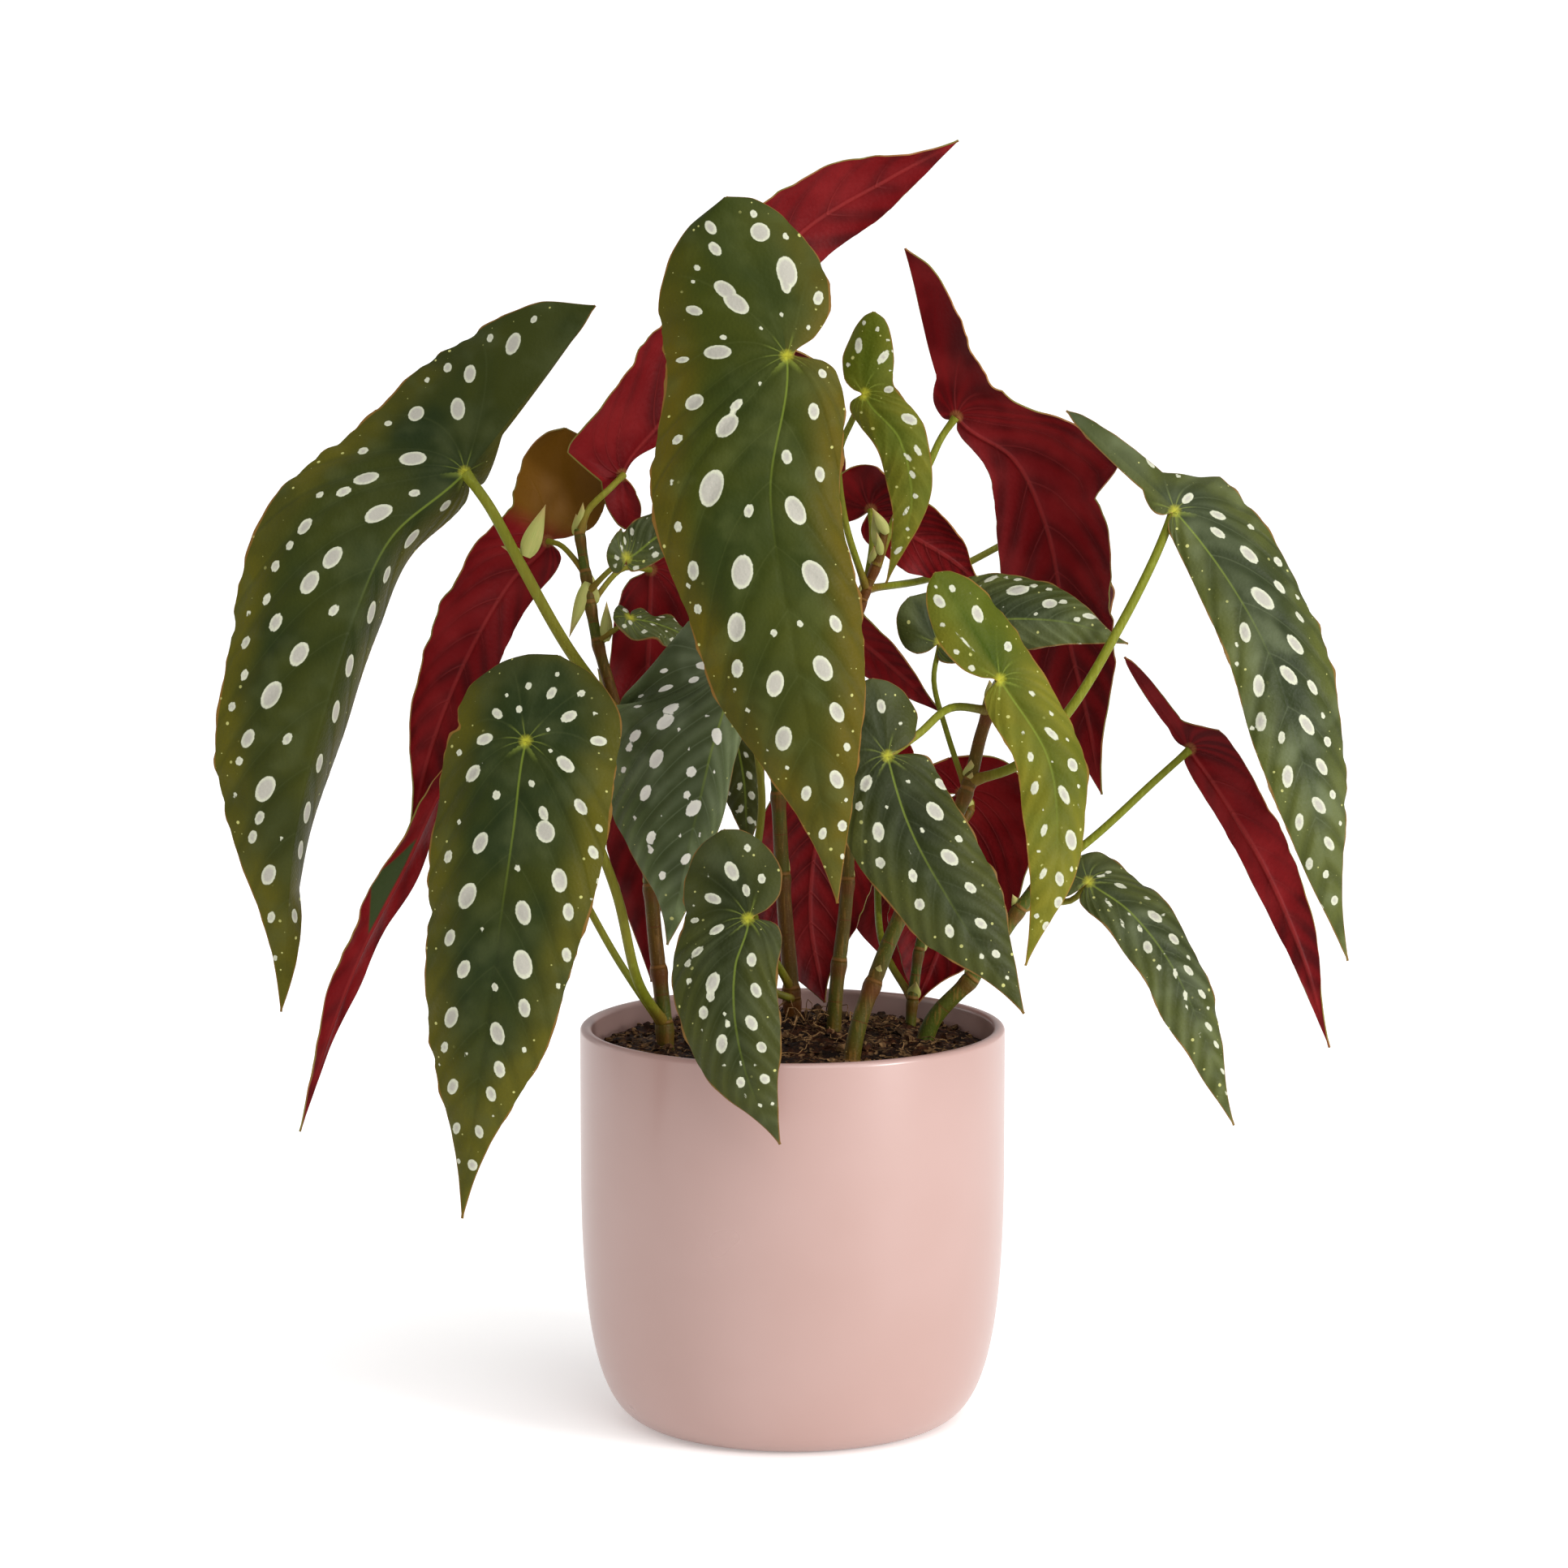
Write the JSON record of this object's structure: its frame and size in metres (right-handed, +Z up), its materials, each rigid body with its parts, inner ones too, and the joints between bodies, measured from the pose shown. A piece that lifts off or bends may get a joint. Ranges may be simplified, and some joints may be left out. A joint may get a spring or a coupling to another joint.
{
  "type": "potted polka dot begonia",
  "caption": "Cane begonia with white-spotted angel-wing leaves, red beneath, standing in soil in a satin pink ceramic pot with a rounded belly and a flat base.",
  "frame": {"origin": "centre of the pot's flat base", "axes": "+Z up through the pot's axis; -Y is the front, which the picture shows"},
  "size_m": [0.3678, 0.1922, 0.4206],
  "materials": {
    "pot": "satin pink glaze",
    "soil": "rough damp potting soil with bark",
    "cane": "smooth satin green and brown stem",
    "leaf": "satin dark green with white spots, deep red beneath",
    "young_leaf": "satin bright green with white spots"
  },
  "bodies": {
    "root": {"pot": "pot", "soil": "soil", "cane_left": "cane", "cane_centre": "cane", "cane_mid": "cane", "cane_front": "cane", "cane_right": "cane", "cane_back": "cane", "leaf_front_large": "leaf", "leaf_left_large": "leaf", "leaf_left_front": "leaf", "leaf_left_inner": "leaf", "leaf_front_small": "leaf", "leaf_right_front": "leaf", "leaf_right_bright": "young_leaf", "leaf_top_bright": "young_leaf", "leaf_right_red": "leaf", "leaf_right_large": "leaf", "leaf_right_twisted": "leaf", "leaf_right_low": "leaf", "leaf_left_red": "leaf", "leaf_top_red": "leaf", "leaf_inner_left": "leaf", "leaf_behind_left": "leaf", "leaf_inner_right": "leaf", "leaf_right_grey": "leaf", "leaf_inner_red": "leaf", "leaf_low_right": "leaf", "leaf_low_centre": "leaf", "leaf_inner_dark": "leaf", "leaf_left_folded": "leaf", "leaf_left_grey": "leaf", "leaf_back_large": "leaf", "leaf_back_left": "leaf", "leaf_back_right": "leaf", "leaf_back_low": "leaf"}
  },
  "joints": []
}
